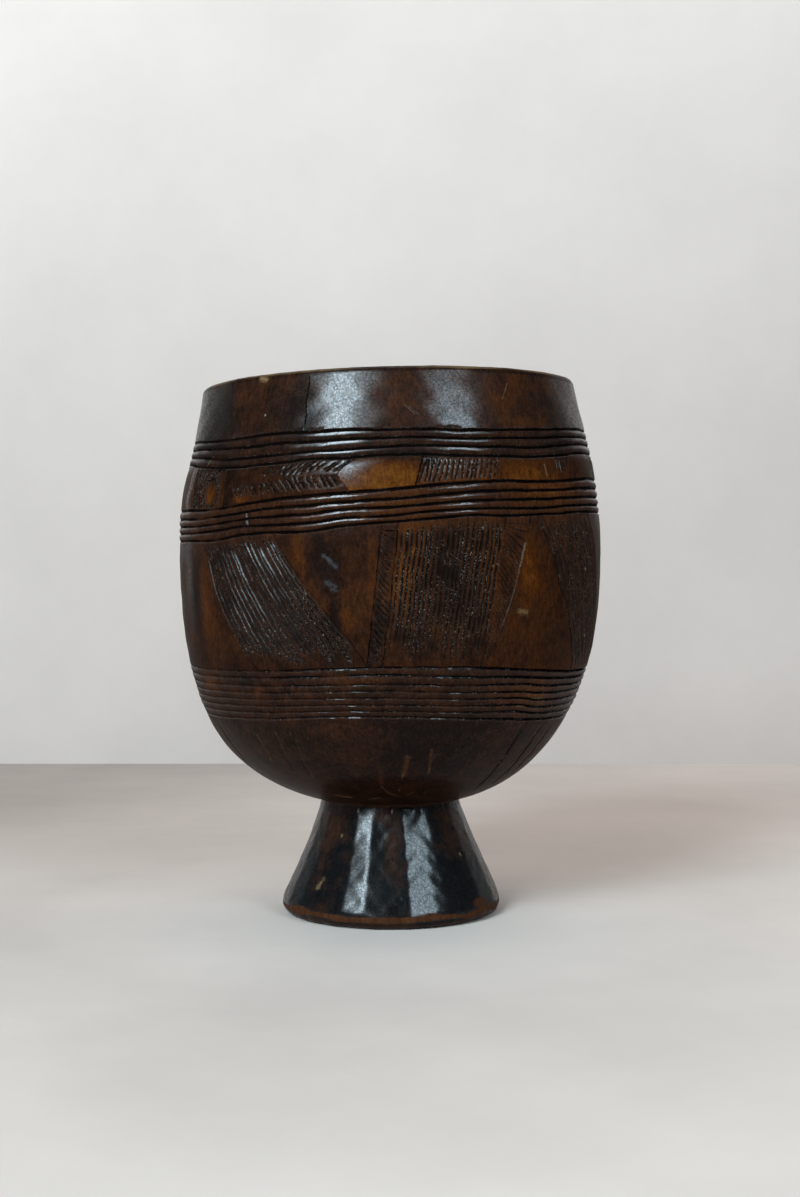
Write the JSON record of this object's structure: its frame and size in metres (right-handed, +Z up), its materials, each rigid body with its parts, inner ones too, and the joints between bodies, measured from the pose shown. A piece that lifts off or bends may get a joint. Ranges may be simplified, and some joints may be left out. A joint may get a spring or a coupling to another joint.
{
  "type": "carved wooden drinking cup",
  "caption": "Hand-carved wooden drinking cup: a deep round bowl with ring grooves and hatched panels on a short conical foot.",
  "frame": {"origin": "centre of the foot's resting face", "axes": "+Z up through the bowl, -Y towards the viewer of the picture, +X to the right in the picture"},
  "size_m": [0.128, 0.128, 0.1609],
  "materials": {
    "bowl_wood": "dark brown carved wood, satin from handling, orange-brown where it is worn, near black in the cuts",
    "foot_wood": "near-black glossy wood with soft knife facets and a worn orange-brown lower edge"
  },
  "bodies": {
    "root": {"bowl": "bowl_wood", "foot": "foot_wood"}
  },
  "joints": []
}
